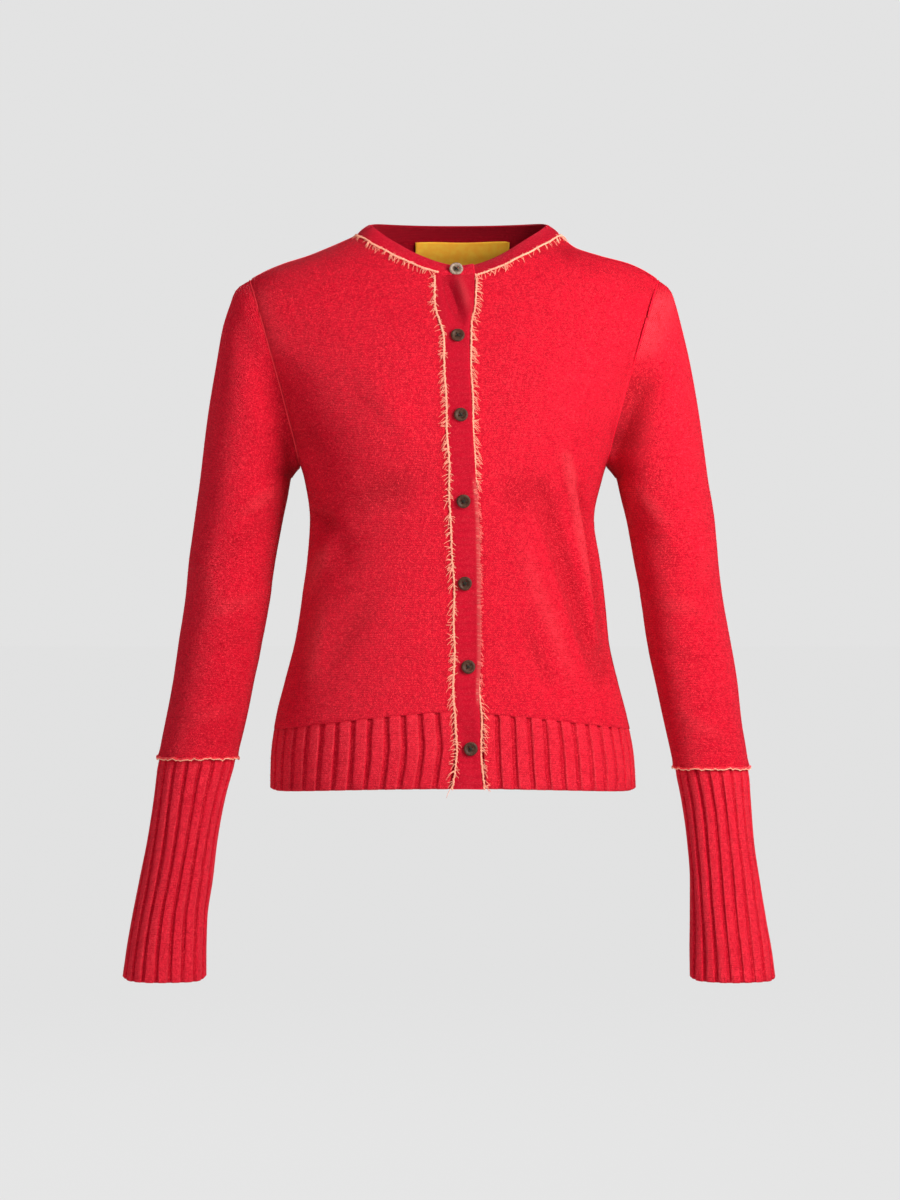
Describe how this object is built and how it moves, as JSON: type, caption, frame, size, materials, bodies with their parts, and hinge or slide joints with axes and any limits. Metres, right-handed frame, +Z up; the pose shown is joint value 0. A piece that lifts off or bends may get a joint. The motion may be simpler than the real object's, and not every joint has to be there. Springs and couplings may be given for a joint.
{
  "type": "button cardigan",
  "caption": "Long-sleeved knitted cardigan with a round neck, buttoned front bands, ribbed hem and cuffs, and eyelash-yarn trim along its seams.",
  "frame": {"origin": "between the wearer's shoulders, level with the neck seam, where the garment is held up", "axes": "+X to the wearer's left, +Y to the wearer's back, +Z up"},
  "size_m": [0.5972, 0.2205, 0.7006],
  "materials": {
    "knit": "brushed fine jersey",
    "rib": "ribbed knit",
    "trim": "eyelash yarn",
    "label": "bare woven tape",
    "dark_shell": "polished smoky shell",
    "pale_shell": "polished pearly shell"
  },
  "bodies": {
    "root": {"front_right": "knit", "front_left": "knit", "back": "knit", "sleeve_right": "knit", "sleeve_left": "knit", "neckband": "knit", "buttonhole_band": "knit", "button_band": "knit", "cuff_right": "rib", "cuff_left": "rib", "hem_rib_right": "rib", "hem_rib_left": "rib", "hem_rib_back": "rib", "neck_label": "label", "neck_trim": "trim", "band_trim_right": "trim", "band_trim_left": "trim", "cuff_trim_right": "trim", "cuff_trim_left": "trim", "button_1": "pale_shell", "button_2": "dark_shell", "button_3": "dark_shell", "button_4": "dark_shell", "button_5": "dark_shell", "button_6": "dark_shell", "button_7": "dark_shell"}
  },
  "joints": []
}
